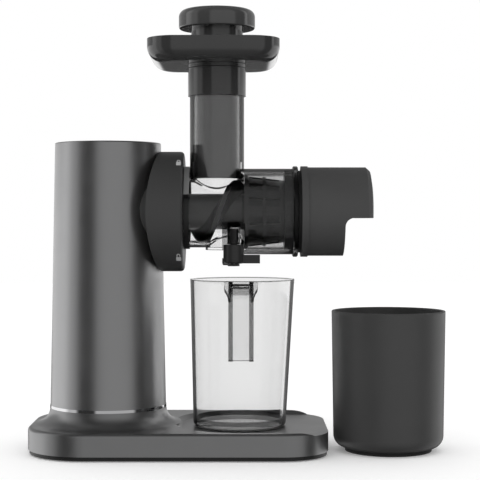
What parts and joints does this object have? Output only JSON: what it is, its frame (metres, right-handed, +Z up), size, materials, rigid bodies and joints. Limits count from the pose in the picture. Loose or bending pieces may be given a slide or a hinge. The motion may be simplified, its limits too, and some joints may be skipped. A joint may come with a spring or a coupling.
{
  "type": "cold press juicer",
  "caption": "Horizontal cold press juicer: metal motor column on a base, twist-on clear chamber with auger and strainer, end cap, feed tray, pusher, jug and pulp cup.",
  "frame": {"origin": "on the table, under the middle of the juicer and its pulp cup", "axes": "+Z up, +X from the motor column along the auger, -Y the front"},
  "size_m": [0.3456, 0.1431, 0.3675],
  "materials": {
    "base_paint": "satin",
    "column_paint": "satin",
    "skirt_black": "matte",
    "foot_rubber": "matte",
    "gland_rubber": "matte",
    "trim_chrome": "mirror",
    "hub_black": "fine satin",
    "chassis_steel": "rolled",
    "post_steel": "turned",
    "screw_steel": "zinc plated",
    "shaft_steel": "ground",
    "pinion_steel": "cut",
    "motor_steel": "zinc plated",
    "rotor_iron": "laminated",
    "magnet_grey": "sintered",
    "bush_bronze": "sintered",
    "gear_plastic": "moulded",
    "seal_rubber": "satin",
    "switch_black": "gloss",
    "board_green": "solder mask",
    "standoff_plastic": "moulded",
    "auger_dark": "satin",
    "chamber_clear": "clear",
    "lock_grey": "satin",
    "strainer_dark": "satin",
    "mesh_steel": "perforated",
    "pin_dark": "satin",
    "cap_matte": "fine matte",
    "tray_smoke": "smoky clear",
    "pusher_gloss": "gloss",
    "drip_dark": "satin",
    "jug_clear": "clear",
    "cup_matte": "fine matte"
  },
  "bodies": {
    "motor_base": {"base_shell": "base_paint", "base_plate": "skirt_black", "rubber_feet": "foot_rubber", "base_screws": "screw_steel", "cord_gland": "gland_rubber", "trim_ring": "trim_chrome", "column_shell": "column_paint", "column_screws": "screw_steel", "hub_housing": "hub_black", "chassis_plate": "chassis_steel", "chassis_screws": "screw_steel", "gearbox_front_plate": "chassis_steel", "gearbox_posts": "post_steel", "gearbox_screws": "screw_steel", "hub_screws": "screw_steel", "shaft_bushes": "bush_bronze", "idler_pin": "shaft_steel", "motor_can": "motor_steel", "motor_magnets": "magnet_grey", "motor_rear_bell": "motor_steel", "motor_bushes": "bush_bronze", "shaft_seal": "seal_rubber", "switch_bezel": "switch_black", "control_board": "board_green", "board_standoffs": "standoff_plastic"},
    "motor_rotor": {"motor_shaft": "shaft_steel", "rotor_core": "rotor_iron", "motor_pinion": "pinion_steel"},
    "idler": {"idler_gear": "gear_plastic"},
    "auger_drive": {"output_gear": "gear_plastic", "drive_shaft": "shaft_steel", "auger_shaft": "shaft_steel", "auger": "auger_dark", "auger_seal": "seal_rubber"},
    "chamber": {"juicing_chamber": "chamber_clear", "chamber_lock_ring": "lock_grey", "strainer_frame": "strainer_dark", "strainer_mesh": "mesh_steel", "pivot_pin": "pin_dark"},
    "cap": {"end_cap": "cap_matte", "cap_gasket": "seal_rubber"},
    "tray": {"feed_tray": "tray_smoke"},
    "pusher": {"pusher_body": "pusher_gloss", "pusher_knob": "pusher_gloss"},
    "drip_gate": {"drip_stop": "drip_dark"},
    "power_rocker": {"switch_rocker": "switch_black"},
    "jug": {"juice_jug": "jug_clear"},
    "pulp_container": {"pulp_cup": "cup_matte", "pulp_cup_foot": "foot_rubber"}
  },
  "joints": [
    {"name": "auger_spin", "type": "hinge", "parent": "motor_base", "child": "auger_drive", "pos_m": [-0.0448, 0, 0.1989], "axis": [1, 0, 0], "continuous": true},
    {"name": "idler_spin", "type": "hinge", "parent": "motor_base", "child": "idler", "pos_m": [-0.0888, 0, 0.1653], "axis": [1, 0, 0], "continuous": true},
    {"name": "motor_spin", "type": "hinge", "parent": "motor_base", "child": "motor_rotor", "pos_m": [-0.1088, 0, 0.1317], "axis": [1, 0, 0], "continuous": true},
    {"name": "chamber_twist", "type": "hinge", "parent": "motor_base", "child": "chamber", "pos_m": [-0.0448, 0, 0.1989], "axis": [1, 0, 0], "range_deg": [0, 35]},
    {"name": "cap_twist", "type": "hinge", "parent": "chamber", "child": "cap", "pos_m": [0.0538, 0, 0.1989], "axis": [1, 0, 0], "range_deg": [0, 40]},
    {"name": "tray_lift", "type": "slide", "parent": "chamber", "child": "tray", "axis": [0, 0, 1], "range_m": [0, 0.06]},
    {"name": "pusher_lift", "type": "slide", "parent": "tray", "child": "pusher", "axis": [0, 0, 1], "range_m": [0, 0.12]},
    {"name": "drip_gate_swing", "type": "hinge", "parent": "chamber", "child": "drip_gate", "pos_m": [-0.0034, -0.0301, 0.16], "axis": [0, 0, -1], "range_deg": [0, 75]},
    {"name": "power_rocker_tilt", "type": "hinge", "parent": "motor_base", "child": "power_rocker", "pos_m": [-0.1088, 0.04764, 0.09], "axis": [1, 0, 0], "range_deg": [-12, 12]},
    {"name": "jug_lift_out", "type": "slide", "parent": "motor_base", "child": "jug", "axis": [0, -0.9903, 0.1392], "range_m": [0, 0.2]},
    {"name": "pulp_cup_away", "type": "slide", "parent": "motor_base", "child": "pulp_container", "axis": [1, 0, 0], "range_m": [0, 0.1]}
  ],
  "couplings": [
    {"joint": "idler_spin", "follows": "auger_spin", "ratio": -3},
    {"joint": "motor_spin", "follows": "auger_spin", "ratio": 9}
  ]
}
